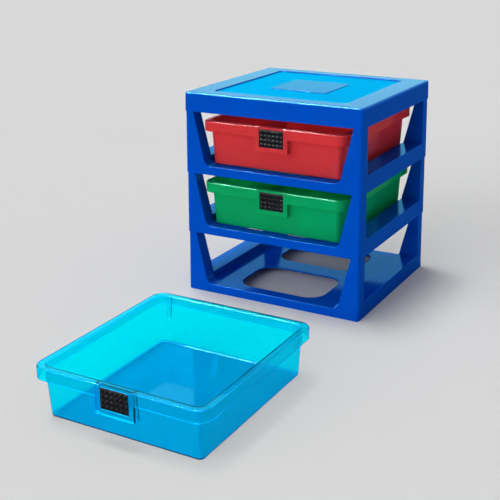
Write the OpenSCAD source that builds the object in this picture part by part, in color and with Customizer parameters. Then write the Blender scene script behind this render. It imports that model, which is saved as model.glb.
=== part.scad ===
// Drawer rack of three stacked tiers under a lid, with three see-through drawers.
// The top and middle drawers sit in their bays. The bottom drawer stands on the floor in front.
// Pieces are drawn with the rack's foot centred on x = 0, y = 0, and the whole set is then
// moved so that the origin is the bottom centre of its bounding box. Front is -Y, up is +Z.

/* [Rack] */
// Width of the rack at its feet
rack_w = 352; // [310:1:400]
// Depth of the rack at its feet
rack_d = 323; // [323:1:350]
// Height of one tier, from its foot to the foot of the piece above
tier_h = 115; // [110:1:140]
// Height of the lid
lid_h = 35; // [28:1:50]
// Plan radius of the rack's upright corners
rack_corner = 6; // [6:0.5:12]
// Wall thickness of the tiers and the lid
rack_wall = 3; // [2.6:0.1:4]
// Inward lean of a tier's outer walls over its whole height
tier_lean = 1.6; // [0.6:0.1:2]
// Height of the plug on top of each leg
plug_h = 8; // [4:0.5:12]
// Clearance round a plug inside the piece above it
plug_gap = 0.5; // [0.3:0.1:1]

/* [Tier openings] */
// Height of the band under the front and back windows, up to the tier's floor
front_band = 16; // [13:0.5:20]
// Height of the band under the side windows, up to the ledge
side_band = 30; // [26:0.5:36]
// Width of a leg at its top, seen from the front
leg_top_w = 17.5; // [15:0.5:24]
// Width of a leg at the tier's floor, seen from the front
leg_foot_w = 41.5; // [34:0.5:48]
// Depth of a leg, seen from the side
leg_d = 27; // [22:1:34]
// Radius of the lower corners of the front and back windows
window_corner = 14; // [8:1:15]
// Width of the ledge along each side of the floor
ledge_w = 38; // [32:1:39]
// Distance from the side of the rack to the holes in the floor
hole_side = 90; // [70:1:110]
// Distance from the front or back of the rack to the nearer hole
hole_end = 24.5; // [18:1:40]
// Width of the bar between the front hole and the back hole
middle_bar = 42; // [20:1:60]
// Corner radius of the holes
hole_corner = 34; // [10:1:40]

/* [Lid] */
// Inward lean of the lid's outer walls over its whole height
lid_lean = 0.7; // [0:0.1:1.2]
// Radius of the lid's top edge
lid_edge = 4; // [2:0.5:4]
// Width of the raised border along the sides
lid_border_side = 44; // [25:1:60]
// Width of the raised border along the front and back
lid_border_end = 30; // [20:1:50]
// Depth of the sunk panel below the border
lid_recess = 2; // [1.5:0.5:8]
// Corner radius of the sunk panel
lid_recess_corner = 8; // [4:1:20]
// Width of the bare pad in the middle of the panel
lid_pad_w = 114; // [60:1:160]
// Depth of the bare pad
lid_pad_d = 108; // [60:1:160]
// Height of the bare pad above the panel
lid_pad_h = 1; // [0.5:0.5:4]

/* [Drawer] */
// Clearance between a drawer's rim and the leg beside it
drawer_side_gap = 5.6; // [1:0.1:30]
// Depth of a drawer, rim front to rim back
drawer_d = 316; // [280:1:316]
// Height of a drawer
drawer_h = 83; // [60:1:90]
// Wall thickness of a drawer
drawer_wall = 2.5; // [2:0.1:3]
// Distance from the face of the rim to the body wall below it
rim_overhang = 10.2; // [9.5:0.1:14]
// Height of the skirt that hangs from the rim
rim_skirt = 19; // [12:0.5:25]
// Plan radius of the rim's corners
rim_corner = 21; // [14:0.5:24]
// Radius of the rim's upper outer edge
rim_edge = 2.5; // [1:0.1:3]
// Inward lean of the body's walls over the drawer's height
body_lean = 5.5; // [5:0.1:7]
// Plan radius of the body's corners under the rim
body_corner = 14; // [12.5:0.5:20]
// Radius of the edge round the drawer's base
base_edge = 5; // [3.5:0.5:6]
// Distance from the side of a drawer to the middle of each rib on its back wall
rib_x = 27.5; // [26.5:0.5:90]
// Width of a back rib
rib_w = 6; // [3:0.5:10]
// Length of a back rib, down from the rim
rib_l = 40; // [20:1:50]
// Depth of a back rib where it meets the rim
rib_d = 6; // [3:0.5:8]

/* [Pull] */
// Width of the pull on the drawer's front
pull_w = 64; // [60:1:90]
// Height of the pull's lower edge above the drawer's base
pull_foot = 37.5; // [32:0.5:42]
// Studs across the grip plate
grip_columns = 6; // [2:1:6]
// Rows of studs up the grip plate
grip_rows = 4; // [2:1:4]
// Spacing of the studs
grip_pitch = 8; // [7:0.1:8]
// Height of the grip plate's lower edge above the drawer's base
grip_foot = 46.5; // [44:0.5:47]
// Thickness of the grip plate without its studs
grip_t = 3.2; // [2.4:0.1:3.6]
// Distance of the grip plate's face behind the face of the rim
grip_setback = 1.5; // [0.8:0.1:2]
// Clearance round the grip plate in its seat
grip_gap = 0.2; // [0.1:0.05:0.4]
// Diameter of a stud
stud_d = 4.9; // [4:0.1:5.4]
// Height of a stud
stud_h = 1.7; // [1:0.1:2]
// Thickness of the wall behind the grip plate
seat_wall = 2; // [1.5:0.1:2.5]
// Diameter of the pegs that hold the grip plate
peg_d = 4; // [3:0.1:5]
// Clearance of a peg in its hole, on the radius
peg_gap = 0.1; // [0.05:0.05:0.2]
// Distance from one peg to the other
peg_span = 32; // [16:1:36]
// Length of a peg past the wall that it goes through
peg_past = 1; // [0.5:0.1:1.5]

/* [Places] */
// Distance of the drawers' rims behind the rack's front
drawer_setback = 5; // [2:0.5:6]
// Clearance between a drawer's base and the floor of its bay
slide_gap = 0.3; // [0.1:0.1:1]
// Floor left free between the rack and the bottom drawer
loose_gap = 210; // [60:1:300]
// Distance of the bottom drawer to the right of the rack's middle
loose_x = 47; // [-100:1:100]

/* [Hidden] */
$fn = 48;
over = 1;          // how far a cutting shape runs past what it cuts
lap = 0.5;         // how far joined shapes of one piece run into each other
arc_steps = 8;     // straight steps in a quarter of a section's arc

rack_blue = "#0050c4";
drawer_red = [0.85, 0.05, 0.1, 0.6];
drawer_green = [0.1, 0.6, 0.25, 0.6];
drawer_blue = [0.0, 0.65, 0.9, 0.6];
grip_black = "#1c1c20";

// The legs' slanted inner faces, and the drawers between them
leg_slope = (leg_foot_w - leg_top_w) / (tier_h - front_band);
bay_z = front_band + slide_gap;
drawer_w = 2 * (window_half(bay_z + drawer_h - rim_skirt) - drawer_side_gap);

// Places of the drawers, and the box round the whole set
bay_y = -rack_d / 2 + drawer_setback + drawer_d / 2;
loose_y = -rack_d / 2 - loose_gap - drawer_d / 2;
set_left = min(-rack_w / 2, loose_x - drawer_w / 2);
set_right = max(rack_w / 2, loose_x + drawer_w / 2);
set_front = loose_y - drawer_d / 2 - max(0, stud_h - grip_setback);
set_back = rack_d / 2;
set_middle = [(set_left + set_right) / 2, (set_front + set_back) / 2, 0];

// The tiers and the lid
hole_w = rack_w - 2 * hole_side;
hole_d = (rack_d - 2 * hole_end - middle_bar) / 2;
leg_side_y = rack_d / 2 - leg_d;
lid_skin = lid_h - lid_recess - rack_wall;

// The drawer's section, measured from the middle of its corner arcs
body_w = drawer_w - 2 * rim_overhang;
body_d = drawer_d - 2 * rim_overhang;
lean_angle = atan(body_lean / drawer_h);
base_x = body_corner - body_lean * (1 - base_edge / drawer_h) - base_edge / cos(lean_angle);

// The pull and its grip plate
grip_w = grip_columns * grip_pitch;
grip_h = grip_rows * grip_pitch;
seat_depth = grip_setback + grip_t;
pull_t = seat_depth + seat_wall;

function arc(cx, cy, r, from, to) =
    [for (i = [0:arc_steps]) let (a = from + (to - from) * i / arc_steps)
        [cx + r * cos(a), cy + r * sin(a)]];

// Distance from the rim's face to the body's outer wall at height z
function wall_inset(z) = rim_overhang + body_lean * (1 - z / drawer_h);

module rounded(w, d, r) {
    square([w, d - 2 * r], center = true);
    square([w - 2 * r, d], center = true);
    for (x = [-1, 1], y = [-1, 1]) translate([x * (w / 2 - r), y * (d / 2 - r)]) circle(r);
}

// Carries a section round a rounded rectangle. The section's x starts at the corner arcs' middle.
module swept(w, d, r) {
    for (a = [0:3]) {
        across = a % 2 == 0 ? w : d;
        along = a % 2 == 0 ? d : w;
        rotate(90 * a) translate([across / 2 - r, along / 2 - r, 0]) {
            rotate_extrude(angle = 90) children();
            rotate([90, 0, 0]) linear_extrude(along - 2 * r) children();
        }
    }
}

// A block with rounded upright corners whose walls lean in by lean from z0 to z1
module leaning_block(w, d, r, z0, z1, lean) {
    hull() {
        for (x = [-1, 1], y = [-1, 1]) translate([x * (w / 2 - r), y * (d / 2 - r), z0])
            cylinder(h = z1 - z0, r1 = r, r2 = r - lean, $fn = 32);
    }
}

// The section of a tier between its two legs at z, as a window with its lower corners rounded
function window_half(z) = rack_w / 2 - leg_foot_w + leg_slope * (z - front_band);
function window_outline(r, top) =
    let (slant = atan(leg_slope), turn = 90 - slant, back = r * tan(turn / 2),
         cx = window_half(front_band) - back, cz = front_band + r,
         corner = arc(cx, cz, r, -90, -90 + turn))
    concat(corner, [[window_half(top), top], [-window_half(top), top]],
           [for (i = [len(corner) - 1:-1:0]) [-corner[i][0], corner[i][1]]]);

module through_y(from, to) {
    translate([0, to, 0]) rotate([90, 0, 0]) linear_extrude(to - from) children();
}

// One leg's inside, seen from the front, t in from its outside
module leg_section(t, z0, z1) {
    side = rack_w / 2 - t;
    slant_t = t / cos(atan(leg_slope));
    polygon([[window_half(z0) + slant_t, z0], [side, z0], [side, z1], [window_half(z1) + slant_t, z1]]);
}

module at_legs() {
    for (x = [0, 1], y = [0, 1]) mirror([x, 0, 0]) mirror([0, y, 0]) children();
}

// The top of each leg goes up inside the piece above
module plugs() {
    inset = rack_wall + plug_gap;
    inner = window_half(tier_h) + rack_wall;
    plug_w = rack_w / 2 - inset - inner;
    plug_d = leg_d - inset - rack_wall;
    translate([0, 0, tier_h - rack_wall]) difference() {
        linear_extrude(plug_h + rack_wall) intersection() {
            rounded(rack_w - 2 * inset, rack_d - 2 * inset, rack_corner - inset);
            at_legs() translate([inner, leg_side_y + rack_wall]) square([plug_w, plug_d]);
        }
        at_legs() translate([inner + rack_wall, leg_side_y + 2 * rack_wall, -over])
            cube([plug_w - 2 * rack_wall, plug_d - 2 * rack_wall, plug_h + over]);
    }
}

module tier() {
    inner_w = rack_w - 2 * rack_wall;
    inner_d = rack_d - 2 * rack_wall;
    color(rack_blue) union() {
        difference() {
            leaning_block(rack_w, rack_d, rack_corner, 0, tier_h, tier_lean);
            // front and back windows, and the bay between them
            through_y(-rack_d / 2 - over, rack_d / 2 + over)
                polygon(window_outline(window_corner, tier_h + over));
            translate([ledge_w - rack_w / 2, -leg_side_y, front_band])
                cube([rack_w - 2 * ledge_w, 2 * leg_side_y, tier_h]);
            // side windows
            translate([-rack_w / 2 - over, -leg_side_y, side_band])
                cube([rack_w + 2 * over, 2 * leg_side_y, tier_h]);
            // holes in the floor
            for (y = [-1, 1]) translate([0, y * (middle_bar + hole_d) / 2, 0])
                linear_extrude(front_band + over) rounded(hole_w, hole_d, hole_corner);
            // the hollow under the floor, the ledges and the legs
            intersection() {
                leaning_block(inner_w, inner_d, rack_corner - rack_wall, -over, tier_h - rack_wall,
                              tier_lean);
                union() {
                    translate([-inner_w / 2, -inner_d / 2, -over])
                        cube([inner_w, inner_d, front_band - rack_wall + over]);
                    for (x = [0, 1]) mirror([x, 0, 0])
                        translate([rack_w / 2 - ledge_w + rack_wall, -leg_side_y, -over])
                            cube([ledge_w, 2 * leg_side_y, side_band - rack_wall + over]);
                    at_legs() through_y(leg_side_y + rack_wall, rack_d / 2)
                        leg_section(rack_wall, front_band - rack_wall - lap, tier_h - rack_wall);
                }
            }
        }
        plugs();
    }
}

module lid_wall_section() {
    top_x = rack_corner - lid_lean;
    polygon(concat(
        [[rack_corner - rack_wall, 0], [rack_corner, 0]],
        arc(top_x - lid_edge, lid_h - lid_edge, lid_edge, 0, 90),
        [[top_x - lid_edge - lap, lid_h], [top_x - lid_edge - lap, lid_h - rack_wall],
         [top_x - rack_wall, lid_h - rack_wall - lid_edge / 2]]));
}

module lid() {
    top_inset = lid_lean + lid_edge;
    panel_w = rack_w - 2 * lid_border_side;
    panel_d = rack_d - 2 * lid_border_end;
    color(rack_blue) translate([0, 0, 3 * tier_h]) union() {
        swept(rack_w, rack_d, rack_corner) lid_wall_section();
        // the raised border, down to the sunk panel
        translate([0, 0, lid_h - rack_wall]) linear_extrude(rack_wall) difference() {
            rounded(rack_w - 2 * top_inset, rack_d - 2 * top_inset, rack_corner - top_inset);
            rounded(panel_w, panel_d, lid_recess_corner);
        }
        translate([0, 0, lid_skin]) linear_extrude(lid_h - lid_skin) difference() {
            rounded(panel_w + 2 * rack_wall, panel_d + 2 * rack_wall, lid_recess_corner + rack_wall);
            rounded(panel_w, panel_d, lid_recess_corner);
        }
        translate([0, 0, lid_skin]) linear_extrude(rack_wall)
            rounded(panel_w + rack_wall, panel_d + rack_wall, lid_recess_corner + rack_wall / 2);
        translate([0, 0, lid_skin + lap]) linear_extrude(rack_wall + lid_pad_h - lap)
            rounded(lid_pad_w, lid_pad_d, lid_recess_corner);
    }
}

module body_section() {
    inner_edge = base_edge - drawer_wall;
    polygon(concat(
        arc(base_x, base_edge, base_edge, -90, -lean_angle),
        [[body_corner - body_lean * drawer_wall / drawer_h, drawer_h - drawer_wall],
         [body_corner + 2 * lap, drawer_h - drawer_wall], [body_corner + 2 * lap, drawer_h]],
        arc(body_corner, drawer_h - drawer_wall, drawer_wall, 90, 180),
        arc(base_x, base_edge, inner_edge, -lean_angle, -90)));
}

module rim_section() {
    inner = rim_corner - drawer_wall;
    flat = rim_corner - max(drawer_wall, rim_edge) - 2 * lap;
    polygon(concat(
        [[inner, drawer_h - rim_skirt], [rim_corner, drawer_h - rim_skirt]],
        arc(rim_corner - rim_edge, drawer_h - rim_edge, rim_edge, 0, 90),
        [[flat, drawer_h], [flat, drawer_h - drawer_wall], [inner, drawer_h - drawer_wall]]));
}

module drawer_shell() {
    rim_top_inset = max(drawer_wall, rim_edge) + lap;
    floor_inset = 2 * (body_corner - base_x);
    swept(body_w, body_d, body_corner) body_section();
    linear_extrude(drawer_wall) rounded(body_w - floor_inset, body_d - floor_inset, base_x);
    swept(drawer_w, drawer_d, rim_corner) rim_section();
    translate([0, 0, drawer_h - drawer_wall]) linear_extrude(drawer_wall) difference() {
        rounded(drawer_w - 2 * rim_top_inset, drawer_d - 2 * rim_top_inset, rim_corner - rim_top_inset);
        rounded(body_w + 2 * lap, body_d + 2 * lap, body_corner + lap);
    }
}

// Seen from the side: y is the distance behind the rim's face, z the height
module along_x(half) {
    translate([-half, -drawer_d / 2, 0]) rotate([90, 0, 90]) linear_extrude(2 * half) children();
}

module pull() {
    mid = drawer_wall / 2;
    difference() {
        union() {
            along_x(pull_w / 2) polygon([
                [0, pull_foot], [pull_t, pull_foot], [pull_t, drawer_h - drawer_wall / 2],
                [rim_edge + lap, drawer_h - drawer_wall / 2],
                [rim_edge, drawer_h - rim_edge], [0, drawer_h - rim_edge]]);
            for (x = [-1, 1]) translate([x * (pull_w - drawer_wall) / 2, 0, 0])
                along_x(drawer_wall / 2) polygon([
                    [pull_t - lap, pull_foot], [wall_inset(pull_foot) + mid, pull_foot],
                    [wall_inset(drawer_h) + mid, drawer_h - drawer_wall / 2],
                    [pull_t - lap, drawer_h - drawer_wall / 2]]);
        }
        for (x = [-1, 1])
            translate([x * peg_span / 2, -drawer_d / 2 + seat_depth - lap, grip_foot + grip_h / 2])
                rotate([-90, 0, 0]) cylinder(h = seat_wall + 2 * lap, d = peg_d + 2 * peg_gap);
    }
}

module drawer(tint) {
    seat_w = grip_w + 2 * grip_gap;
    color(tint) difference() {
        union() {
            drawer_shell();
            pull();
            // ribs under the back of the rim
            for (x = [-1, 1]) translate([x * (drawer_w / 2 - rib_x), 0, 0]) mirror([0, 1, 0])
                along_x(rib_w / 2) polygon([
                    [wall_inset(drawer_h) - rib_d, drawer_h - drawer_wall / 2],
                    [wall_inset(drawer_h - rib_l) - rib_d / 2, drawer_h - rib_l],
                    [wall_inset(drawer_h - rib_l) + drawer_wall / 2, drawer_h - rib_l],
                    [wall_inset(drawer_h) + drawer_wall / 2, drawer_h - drawer_wall / 2]]);
        }
        // the seat of the grip plate, and the rim set back above it
        translate([-seat_w / 2, -drawer_d / 2 - over, grip_foot - grip_gap])
            cube([seat_w, seat_depth + over, grip_h + 2 * grip_gap]);
        translate([-seat_w / 2, -drawer_d / 2 - over, grip_foot + grip_h])
            cube([seat_w, grip_setback + over, drawer_h]);
    }
}

module grip_plate() {
    color(grip_black) translate([0, -drawer_d / 2 + grip_setback, grip_foot]) {
        translate([-grip_w / 2, 0, 0]) cube([grip_w, grip_t, grip_h]);
        for (i = [0:grip_columns - 1], j = [0:grip_rows - 1])
            translate([(i + 0.5) * grip_pitch - grip_w / 2, lap, (j + 0.5) * grip_pitch])
                rotate([90, 0, 0]) cylinder(h = stud_h + lap, d = stud_d);
        for (x = [-1, 1]) translate([x * peg_span / 2, grip_t - lap, grip_h / 2])
            rotate([-90, 0, 0]) cylinder(h = lap + seat_wall + peg_past, d = peg_d);
    }
}

module at_set() { translate(-set_middle) children(); }
module in_bay(i) { at_set() translate([0, bay_y, i * tier_h + bay_z]) children(); }
module on_floor() { at_set() translate([loose_x, loose_y, 0]) children(); }

module bottom_tier() { at_set() tier(); }
module middle_tier() { at_set() translate([0, 0, tier_h]) tier(); }
module top_tier() { at_set() translate([0, 0, 2 * tier_h]) tier(); }

at_set() lid();
top_tier();
middle_tier();
bottom_tier();
in_bay(2) drawer(drawer_red);  // top_drawer
in_bay(1) drawer(drawer_green);  // middle_drawer
on_floor() drawer(drawer_blue);  // bottom_drawer
in_bay(2) grip_plate();  // top_grip_plate
in_bay(1) grip_plate();  // middle_grip_plate
on_floor() grip_plate();  // bottom_grip_plate
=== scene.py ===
import math

import bmesh
import bpy
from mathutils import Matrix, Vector


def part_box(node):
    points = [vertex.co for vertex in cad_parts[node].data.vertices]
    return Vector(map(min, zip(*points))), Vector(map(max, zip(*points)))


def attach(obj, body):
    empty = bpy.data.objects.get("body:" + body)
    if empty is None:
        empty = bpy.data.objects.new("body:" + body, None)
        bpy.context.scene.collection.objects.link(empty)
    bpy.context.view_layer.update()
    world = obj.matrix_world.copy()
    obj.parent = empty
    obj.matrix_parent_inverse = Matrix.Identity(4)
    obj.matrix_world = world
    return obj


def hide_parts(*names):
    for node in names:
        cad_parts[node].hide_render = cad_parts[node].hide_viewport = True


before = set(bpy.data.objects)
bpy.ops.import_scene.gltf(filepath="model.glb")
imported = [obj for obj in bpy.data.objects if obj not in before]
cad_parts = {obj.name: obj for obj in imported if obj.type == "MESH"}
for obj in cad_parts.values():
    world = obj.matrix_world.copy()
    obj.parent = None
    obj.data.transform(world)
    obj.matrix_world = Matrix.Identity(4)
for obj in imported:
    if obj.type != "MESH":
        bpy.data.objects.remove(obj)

bpy.context.view_layer.update()
mm = 0.001
print("frame loaded:", len(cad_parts), "nodes")


# sRGB hex colour to linear light
def linear(hexColour):
    channels = [int(hexColour[i:i + 2], 16) / 255 for i in (1, 3, 5)]
    return [c / 12.92 if c <= 0.04045 else ((c + 0.055) / 1.055) ** 2.4 for c in channels] + [1.0]


# inputs are found by name or number, anything else is a setting of the node itself
def addNode(tree, kind, settings=None, links=None):
    node = tree.nodes.new(kind)
    for name, value in (settings or {}).items():
        if isinstance(name, int) or name in node.inputs:
            node.inputs[name].default_value = value
        else:
            setattr(node, name, value)
    for name, source in (links or {}).items():
        tree.links.new(source, node.inputs[name])
    return node


def newMaterial(name):
    material = bpy.data.materials.new(name)
    material.use_nodes = True
    material.node_tree.nodes.clear()
    return material, material.node_tree


def noise(tree, sizeMm, detail=2.0):
    place = addNode(tree, "ShaderNodeTexCoord").outputs["Object"]
    settings = {"Scale": 1 / (sizeMm * mm), "Detail": detail}
    return addNode(tree, "ShaderNodeTexNoise", settings, {"Vector": place}).outputs["Fac"]


# the first shader where the factor is 0, the second where it is 1
def mixShaders(tree, factor, first, second):
    if isinstance(factor, float):
        return addNode(tree, "ShaderNodeMixShader", {0: factor}, {1: first, 2: second}).outputs[0]
    return addNode(tree, "ShaderNodeMixShader", links={0: factor, 1: first, 2: second}).outputs[0]


# the faint waves of a moulded face and the grain cut into its mould, as a bumped normal,
# with gloss and colour that drift slowly over the piece
def mouldedFace(tree, finish):
    wave = addNode(tree, "ShaderNodeBump", {"Distance": finish["waveHeightMm"] * mm},
                   {"Height": noise(tree, finish["waveMm"], finish["waveDetail"])})
    grain = addNode(tree, "ShaderNodeBump", {"Distance": finish["grainHeightMm"] * mm},
                    {"Height": noise(tree, finish["grainMm"]), "Normal": wave.outputs["Normal"]})
    drift = noise(tree, finish["driftMm"])
    rough = addNode(tree, "ShaderNodeMapRange",
                    {"To Min": finish["rough"][0], "To Max": finish["rough"][1]}, {"Value": drift})
    colour = addNode(tree, "ShaderNodeMix",
                     {"data_type": "RGBA", 6: linear(finish["colours"][0]),
                      7: linear(finish["colours"][1])}, {0: drift})
    return grain.outputs["Normal"], rough.outputs["Result"], colour.outputs[2]


# mirror light in the plastic's own tint, and how much of it there is at each angle
def skin(tree, finish, rough, normal):
    gloss = addNode(tree, "ShaderNodeBsdfAnisotropic", {"Color": linear(finish["gloss"])},
                    {"Roughness": rough, "Normal": normal})
    edge = addNode(tree, "ShaderNodeFresnel", {"IOR": finish["ior"]}, {"Normal": normal})
    return gloss.outputs[0], edge.outputs[0]


# a coloured body under a clear skin
def opaquePlastic(name, finish):
    material, tree = newMaterial(name)
    normal, rough, colour = mouldedFace(tree, finish)
    body = addNode(tree, "ShaderNodeBsdfPrincipled", {"Specular IOR Level": 0.0},
                   {"Base Color": colour, "Roughness": rough, "Normal": normal}).outputs[0]
    gloss, edge = skin(tree, finish, rough, normal)
    shiny = mixShaders(tree, edge, body, gloss)
    # the floor beside a piece takes its colour from the body alone, without glints thrown on it
    path = addNode(tree, "ShaderNodeLightPath")
    addNode(tree, "ShaderNodeOutputMaterial",
            links={"Surface": mixShaders(tree, path.outputs["Is Diffuse Ray"], shiny, body)})
    return material


# tinted clear plastic with a little haze in it, which lets lamps through as a paler tint
def clearPlastic(name, finish):
    material, tree = newMaterial(name)
    normal, rough, colour = mouldedFace(tree, finish)
    # bent by the same index as the skin has, or light inside a wall would be trapped there
    bent = addNode(tree, "ShaderNodeBsdfRefraction",
                   {"Color": linear(finish["glass"]), "IOR": finish["ior"]},
                   {"Roughness": rough, "Normal": normal}).outputs[0]
    gloss, edge = skin(tree, finish, rough, normal)
    face = {"Color": colour, "Normal": normal}
    front = addNode(tree, "ShaderNodeBsdfDiffuse", links=face).outputs[0]
    back = addNode(tree, "ShaderNodeBsdfTranslucent", links=face).outputs[0]
    haze = mixShaders(tree, finish["glow"], front, back)
    inside = mixShaders(tree, finish["haze"], bent, haze)
    body = mixShaders(tree, edge, inside, gloss)
    path = addNode(tree, "ShaderNodeLightPath")
    dim = addNode(tree, "ShaderNodeMath", {"operation": "MAXIMUM"},
                  {0: path.outputs["Is Shadow Ray"], 1: path.outputs["Is Diffuse Ray"]})
    through = addNode(tree, "ShaderNodeBsdfTransparent", {"Color": linear(finish["shadow"])})
    addNode(tree, "ShaderNodeOutputMaterial",
            links={"Surface": mixShaders(tree, dim.outputs[0], body, through.outputs[0])})
    return material


easing = {
    "mergeMm": 0.01,  # vertices nearer than this become one
    "sharpAngle": 35,  # an edge that turns more than this is eased
    "leastRadii": 3,  # unless it is shorter than this many radii
    "segments": 2,
    "creaseAngle": 50,  # faces that meet at more than this keep a crease in their shading
}


# a copy of a solid whose sharp edges are eased, which stands for it and rides with its body
# plastics holds one material for each zone, and zoneOf tells the zone of a face
def eased(nodeName, body, radiusMm, plastics, zoneOf=None):
    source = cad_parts[nodeName]
    bm = bmesh.new()
    bm.from_mesh(source.data)
    bmesh.ops.remove_doubles(bm, verts=bm.verts, dist=easing["mergeMm"] * mm)
    lowest = min(v.co.z for v in bm.verts)
    sharp = [e for e in bm.edges if len(e.link_faces) == 2
             and e.calc_face_angle(0) > math.radians(easing["sharpAngle"])
             and e.calc_length() > easing["leastRadii"] * radiusMm * mm]
    bmesh.ops.bevel(bm, geom=sharp, offset=radiusMm * mm, offset_type="OFFSET", affect="EDGES",
                    segments=easing["segments"], profile=0.5, material=-1, clamp_overlap=False)
    # where short edges crowd together the bevel could dip under the base
    for vert in bm.verts:
        vert.co.z = max(vert.co.z, lowest)
    zones = list(plastics)
    for face in bm.faces:
        face.smooth = True
        if zoneOf:
            face.material_index = zones.index(zoneOf(face.calc_center_median(), face.normal))
        else:
            face.material_index = 0
    mesh = bpy.data.meshes.new(nodeName + "Eased")
    bm.to_mesh(mesh)
    bm.free()
    mesh.set_sharp_from_angle(angle=math.radians(easing["creaseAngle"]))
    for plastic in plastics.values():
        mesh.materials.append(plastic)
    piece = bpy.data.objects.new(nodeName + "Eased", mesh)
    bpy.context.scene.collection.objects.link(piece)
    piece.modifiers.new("evenShading", "WEIGHTED_NORMAL").keep_sharp = True
    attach(piece, body)
    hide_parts(nodeName)


# glossy blue polypropylene: deep blue where seen square on, bright azure where it mirrors light
# at a low angle
rackFinish = {
    "colours": ("#004dc6", "#0052cc"), "gloss": "#60bcec", "ior": 1.28, "rough": (0.08, 0.13),
    "edgeMm": 0.6, "waveMm": 28, "waveDetail": 1.5, "waveHeightMm": 0.04, "grainMm": 1.5,
    "grainHeightMm": 0.0005, "driftMm": 90,
}
# the lid's sunk panel and raised pad have a fine satin grain, which spreads the light over them,
# and the border round the panel is polished, so it mirrors more of the white light; these upward
# faces also get gloss tints of their own, a painted reflection that makes the lit top azure
lidPanelGrainAndPaintedGloss = dict(rackFinish, gloss="#08ccd8", rough=(0.25, 0.32), grainHeightMm=0.004)
lidPadGrainAndPaintedGloss = dict(rackFinish, gloss="#68d0cc", rough=(0.16, 0.2), grainHeightMm=0.002)
lidBorderPolishAndPaintedGloss = dict(rackFinish, gloss="#8cdcd8", ior=1.3)
rackPlastic = opaquePlastic("glossyBluePolypropylene", rackFinish)
lidPlastics = {
    "sides": rackPlastic,
    "panel": opaquePlastic("satinBlueWithPaintedReflection", lidPanelGrainAndPaintedGloss),
    "pad": opaquePlastic("softSatinBlueWithPaintedReflection", lidPadGrainAndPaintedGloss),
    "border": opaquePlastic("polishedBlueWithPaintedReflection", lidBorderPolishAndPaintedGloss),
}
# heights and the pad's half width and depth, as in the solids
lidZones = {
    "panelTopMm": 378, "padTopMm": 379, "padHalfMm": (57, 54), "slackMm": 0.5, "flatNormal": 0.9,
}
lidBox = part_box("lid")
lidCentre = [(lidBox[0][i] + lidBox[1][i]) / 2 for i in (0, 1)]


# the lid's upward faces go to the zones whose gloss tints are a painted reflection of the lit top
def lidZone(centre, normal):
    slack = lidZones["slackMm"]
    if normal.z < lidZones["flatNormal"] or centre.z < (lidZones["panelTopMm"] - slack) * mm:
        return "sides"
    if centre.z > (lidZones["padTopMm"] + slack) * mm:
        return "border"
    overPad = all(abs(centre[i] - lidCentre[i]) < lidZones["padHalfMm"][i] * mm for i in (0, 1))
    if overPad and centre.z > (lidZones["padTopMm"] - slack) * mm:
        return "pad"
    return "panel"


eased("lid", "rack", rackFinish["edgeMm"], lidPlastics, lidZone)
for tier in ("top_tier", "middle_tier", "bottom_tier"):
    eased(tier, "rack", rackFinish["edgeMm"], {"all": rackPlastic})
print("rack dressed")

# see-through moulded plastic: coloured glass with some haze, so that it glows a little where
# light falls on it
# its index is below the plastic's own 1.49, which keeps thin edges bright as in the real trays
clearFinish = {
    "rough": (0.03, 0.08), "edgeMm": 0.4, "waveMm": 24, "waveDetail": 1.5, "waveHeightMm": 0.03,
    "grainMm": 1.5, "grainHeightMm": 0.0005, "driftMm": 60, "ior": 1.32,
}
drawerFinishes = {
    "top": dict(clearFinish, name="clearRedPolypropylene", slot="drawer_red", glass="#fa3040",
                gloss="#ffc0c4", colours=("#ff484c", "#ff4e54"), haze=0.76, glow=0.25,
                shadow="#e0b8b8"),
    "middle": dict(clearFinish, name="clearGreenPolypropylene", slot="drawer_green",
                   glass="#10d060", gloss="#90ffd0", colours=("#10cc80", "#14d288"), haze=0.68,
                   glow=0.25, shadow="#b8e0c0"),
    "bottom": dict(clearFinish, name="clearCyanPolypropylene", slot="drawer_blue",
                   glass="#00f8ff", gloss="#58e0ff", colours=("#00f0ff", "#00f6ff"), haze=0.08,
                   glow=0.6, shadow="#eceff0"),
}
# the cyan tray stands on the floor, so its base lets light through twice, on its way to the
# floor and back, and looks deeper than the walls; that look is painted shade, a deeper tint given
# to the base's own faces for the shaded floor seen under it
paintedShadeBaseFinishes = {
    "bottom": dict(drawerFinishes["bottom"], name="cyanPolypropylenePaintedShade", glass="#00dafc",
                   haze=0.06, colours=("#00c8f8", "#00d0fc"), shadow="#e8ebef"),
}
baseTopMm = 5


def trayZone(centre, normal):
    return "base" if centre.z < baseTopMm * mm else "walls"


# black studded plates: dull moulded ABS with a fine grain
gripFinish = {
    "colours": ("#121216", "#18181c"), "gloss": "#b8b8bc", "ior": 1.3, "rough": (0.32, 0.4),
    "edgeMm": 0.2, "waveMm": 6, "waveDetail": 1.5, "waveHeightMm": 0.01, "grainMm": 0.5,
    "grainHeightMm": 0.003, "driftMm": 15,
}
gripPlastics = {"all": opaquePlastic("blackAbs", gripFinish)}
for level, finish in drawerFinishes.items():
    drawer = level + "_drawer"
    plastics = {"walls": clearPlastic(finish["name"], finish)}
    # the cyan tray's base takes the deeper tint, painted shade of the floor under it
    if level in paintedShadeBaseFinishes:
        plastics["base"] = clearPlastic(paintedShadeBaseFinishes[level]["name"], paintedShadeBaseFinishes[level])
    eased(drawer, drawer, finish["edgeMm"], plastics,
          trayZone if "base" in plastics else None)
    eased(level + "_grip_plate", drawer, gripFinish["edgeMm"], gripPlastics)
print("drawers dressed")

# a pale floor, which the pieces mirror darker and let through lighter than it is seen itself
floorValues = {
    "halfSize": 60, "dropMm": 0.3, "colour": "#dcdcdc", "mirrored": "#909090",
    "through": "#ffffff", "rough": (0.75, 0.85), "driftMm": 400,
}
floorMesh = bpy.data.meshes.new("floor")
bm = bmesh.new()
bmesh.ops.create_grid(bm, x_segments=1, y_segments=1, size=floorValues["halfSize"])
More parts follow.
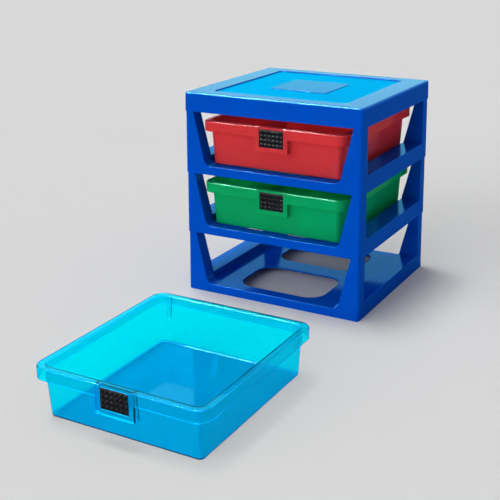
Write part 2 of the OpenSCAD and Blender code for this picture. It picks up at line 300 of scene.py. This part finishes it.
# a hair below the feet, so that it doesn't coincide with the clear tray's base
bmesh.ops.translate(bm, vec=(0, 0, -floorValues["dropMm"] * mm), verts=bm.verts)
bm.to_mesh(floorMesh)
bm.free()
floor = bpy.data.objects.new("floor", floorMesh)
bpy.context.scene.collection.objects.link(floor)
floorMaterial, tree = newMaterial("paleStudioFloor")
rough = addNode(tree, "ShaderNodeMapRange",
                {"To Min": floorValues["rough"][0], "To Max": floorValues["rough"][1]},
                {"Value": noise(tree, floorValues["driftMm"])})
path = addNode(tree, "ShaderNodeLightPath")
mirrored = addNode(tree, "ShaderNodeMix",
                   {"data_type": "RGBA", 6: linear(floorValues["colour"]),
                    7: linear(floorValues["mirrored"])}, {0: path.outputs["Is Glossy Ray"]})
colour = addNode(tree, "ShaderNodeMix",
                 {"data_type": "RGBA", 7: linear(floorValues["through"])},
                 {0: path.outputs["Is Transmission Ray"], 6: mirrored.outputs[2]})
shader = addNode(tree, "ShaderNodeBsdfPrincipled", {"Specular IOR Level": 0.0},
                 {"Base Color": colour.outputs[2], "Roughness": rough.outputs["Result"]})
addNode(tree, "ShaderNodeOutputMaterial", links={"Surface": shader.outputs[0]})
floorMesh.materials.append(floorMaterial)

# the studio's walls give little light themselves, but the glossy faces mirror them bright
airValues = {"colour": "#f4f5f6", "onFaces": 0.3, "mirrored": 2.0}
world = bpy.data.worlds.new("studioAir")
bpy.context.scene.world = world
world.use_nodes = True
tree = world.node_tree
tree.nodes.clear()
path = addNode(tree, "ShaderNodeLightPath")
strength = addNode(tree, "ShaderNodeMapRange",
                   {"To Min": airValues["onFaces"], "To Max": airValues["mirrored"]},
                   {"Value": path.outputs["Is Glossy Ray"]})
air = addNode(tree, "ShaderNodeBackground", {"Color": linear(airValues["colour"])},
              {"Strength": strength.outputs["Result"]})
addNode(tree, "ShaderNodeOutputWorld", links={"Surface": air.outputs[0]})

# soft suns, each with the azimuth and elevation it shines from and the width of its disc:
# a broad one high on the left, one overhead and two low ones in front that fill the shade
# the glint is a square lamp that is seen in gloss alone
lamps = {
    "broadLamp": {"shinesFrom": (165, 77), "discAngle": 18, "energy": 1.25},
    "lowLamp": {"shinesFrom": (228, 24), "discAngle": 40, "energy": 0.75},
    "overhead": {"shinesFrom": (225, 86), "discAngle": 37, "energy": 0.3},
    "glint": {"place": (-1.1, -0.4, 2.4), "target": (0, 0, 0.2), "size": 1.2, "energy": 900},
    "frontFill": {"shinesFrom": (261, 24), "discAngle": 33, "energy": 0.85},
}
for name, values in lamps.items():
    isSun = "shinesFrom" in values
    light = bpy.data.lights.new(name, "SUN" if isSun else "AREA")
    light.energy = values["energy"]
    if isSun:
        azimuth, elevation = (math.radians(a) for a in values["shinesFrom"])
        place = Vector((math.cos(azimuth) * math.cos(elevation),
                        math.sin(azimuth) * math.cos(elevation), math.sin(elevation)))
        target = Vector((0, 0, 0))
        light.angle = math.radians(values["discAngle"])
    else:
        place, target = Vector(values["place"]), Vector(values["target"])
        light.size = values["size"]
    lamp = bpy.data.objects.new(name, light)
    lamp.location = place
    lamp.rotation_euler = (target - place).to_track_quat("-Z", "Y").to_euler()
    lamp.visible_diffuse = lamp.visible_transmission = isSun
    bpy.context.scene.collection.objects.link(lamp)

# the photograph's own viewpoint, from a pinhole camera fitted to its edges: 28.5 degrees round to
# the right, looking 17 degrees down
viewpoint = {
    "place": (0.77529, -1.33692, 0.68881), "turned": (72.7825, 0.197, 28.478),
    "focalPixels": 960.626, "imagePixels": 500, "sensorMm": 36, "shift": (-0.04, -0.08),
    "farthest": 200,
}
cameraData = bpy.data.cameras.new("camera")
camera = bpy.data.objects.new("camera", cameraData)
bpy.context.scene.collection.objects.link(camera)
camera.location = viewpoint["place"]
camera.rotation_euler = [math.radians(a) for a in viewpoint["turned"]]
cameraData.sensor_width = viewpoint["sensorMm"]
cameraData.lens = viewpoint["focalPixels"] / viewpoint["imagePixels"] * viewpoint["sensorMm"]
cameraData.shift_x, cameraData.shift_y = viewpoint["shift"]
cameraData.clip_end = viewpoint["farthest"]
bpy.context.scene.camera = camera

bpy.context.scene.view_settings.view_transform = "Standard"
print("studio set")

bpy.context.view_layer.update()
